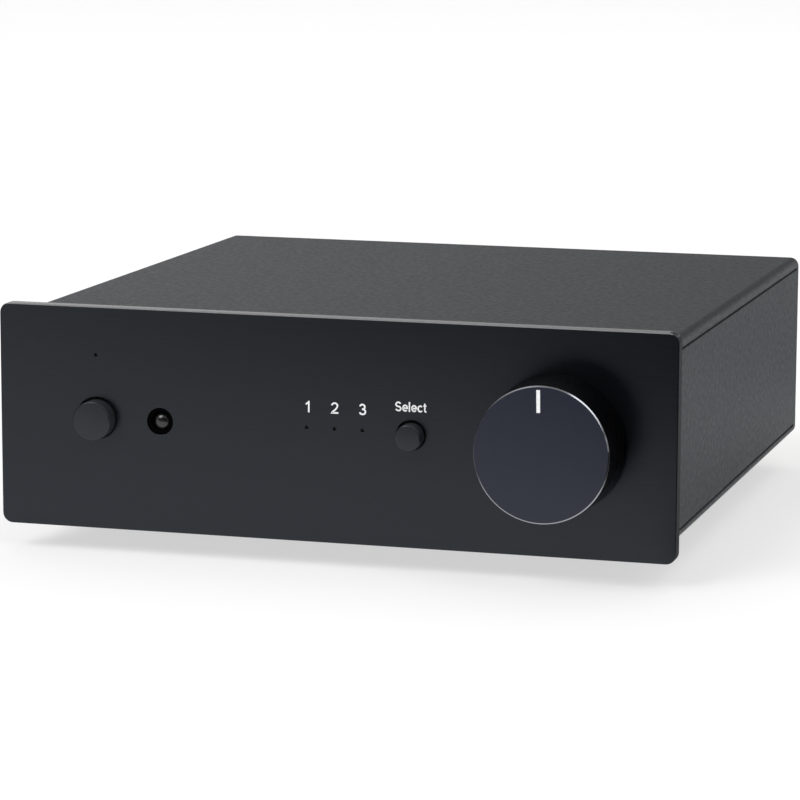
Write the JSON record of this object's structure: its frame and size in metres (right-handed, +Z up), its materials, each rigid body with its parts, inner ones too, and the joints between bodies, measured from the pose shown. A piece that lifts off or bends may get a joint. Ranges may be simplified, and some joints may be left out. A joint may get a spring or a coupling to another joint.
{
  "type": "preamplifier",
  "caption": "Compact stereo preamplifier in a plate aluminium case, with a motor driven volume knob, push buttons, phono sockets and an earth terminal.",
  "frame": {"origin": "on the resting plane, under the middle of the whole unit from knob to sockets", "axes": "+X to the right as seen from the front, +Y to the back, +Z up; the front panel faces -Y"},
  "size_m": [0.103, 0.12, 0.037],
  "materials": {
    "panel_anodised": "brushed and anodised dark grey",
    "case_coating": "fine textured dark grey powder coat",
    "knob_anodised": "turned, anodised near black, cut bright edge",
    "foot_rubber": "matt black rubber",
    "black_screws": "blackened steel",
    "zinc_steel": "zinc plated steel",
    "shaft_steel": "turned steel",
    "nickel_brass": "nickel plated brass",
    "gold_brass": "gold plated brass",
    "circuit_board": "green solder mask on glass fibre board",
    "black_plastic": "matt black moulding",
    "black_gloss": "smooth black moulding",
    "dark_lens": "dark infrared lens resin",
    "clear_plastic": "clear acrylic",
    "white_plastic": "white nylon",
    "red_plastic": "red nylon",
    "blue_sleeve": "shrunk sleeve",
    "film_box": "moulded box",
    "diode_resin": "clear diode resin"
  },
  "bodies": {
    "case": {"front_panel": "panel_anodised", "top_cover": "case_coating", "bottom_cover": "case_coating", "side_wall_left": "case_coating", "side_wall_right": "case_coating", "rear_panel": "case_coating", "feet": "foot_rubber", "foot_screws": "black_screws", "case_screws": "black_screws", "rear_panel_screws": "black_screws", "front_bracket": "zinc_steel", "panel_nuts": "zinc_steel", "bracket_screws": "zinc_steel", "front_board": "circuit_board", "front_board_screws": "zinc_steel", "power_switch": "black_plastic", "input_switch": "black_plastic", "ir_receiver": "dark_lens", "ir_bush": "black_gloss", "front_leds": "diode_resin", "power_light_pipe": "clear_plastic", "input_light_pipe": "clear_plastic", "pot_nut": "nickel_brass", "pot_bush": "nickel_brass", "pot_body": "black_gloss", "gear_bracket": "zinc_steel", "motor_gearbox": "black_plastic", "motor_can": "zinc_steel", "main_board": "circuit_board", "board_screws": "zinc_steel", "board_header": "black_plastic", "relays": "black_gloss", "electrolytic_capacitors": "blue_sleeve", "film_capacitors": "film_box", "circuit_packages": "black_plastic", "rca_housing_input_1": "black_plastic", "rca_housing_input_2": "black_plastic", "rca_housing_input_3": "black_plastic", "rca_housing_output": "black_plastic", "rca_shells": "gold_brass", "rca_inserts_left": "white_plastic", "rca_inserts_right": "red_plastic", "rca_screws": "black_screws", "power_inlet": "black_plastic", "power_inlet_pin": "nickel_brass", "trigger_jack": "black_plastic", "earth_bush": "gold_brass", "earth_nut": "nickel_brass"},
    "volume": {"volume_knob": "knob_anodised", "knob_set_screw": "black_screws", "volume_shaft": "shaft_steel", "clutch_gear": "white_plastic"},
    "pinion": {"motor_pinion": "nickel_brass"},
    "power_key": {"power_button": "knob_anodised", "power_plunger": "black_plastic"},
    "input_key": {"input_button": "knob_anodised", "input_plunger": "black_plastic"},
    "earth_washer": {"earth_washer": "gold_brass"},
    "earth_screw": {"earth_screw": "gold_brass"}
  },
  "joints": [
    {"name": "volume_turn", "type": "hinge", "parent": "case", "child": "volume", "pos_m": [0.034, 0, 0.02035], "axis": [0, 1, 0], "range_deg": [-147.5, 152.5]},
    {"name": "pinion_turn", "type": "hinge", "parent": "case", "child": "pinion", "pos_m": [0.022, 0, 0.02035], "axis": [0, 1, 0], "range_deg": [-371, 359]},
    {"name": "power_press", "type": "slide", "parent": "case", "child": "power_key", "axis": [0, 1, 0], "range_m": [0, 0.0008], "stiffness_N_per_m": 2000},
    {"name": "input_press", "type": "slide", "parent": "case", "child": "input_key", "axis": [0, 1, 0], "range_m": [0, 0.0005], "stiffness_N_per_m": 2000},
    {"name": "earth_travel", "type": "slide", "parent": "case", "child": "earth_washer", "axis": [0, 1, 0], "range_m": [0, 0.0014]},
    {"name": "earth_turn", "type": "hinge", "parent": "earth_washer", "child": "earth_screw", "pos_m": [-0.0205, 0.0552, 0.02805], "axis": [0, 1, 0], "range_deg": [0, 721]}
  ],
  "couplings": [
    {"joint": "pinion_turn", "follows": "volume_turn", "ratio": -2.4286},
    {"joint": "earth_turn", "follows": "earth_travel", "rad_per_m": 8976}
  ]
}
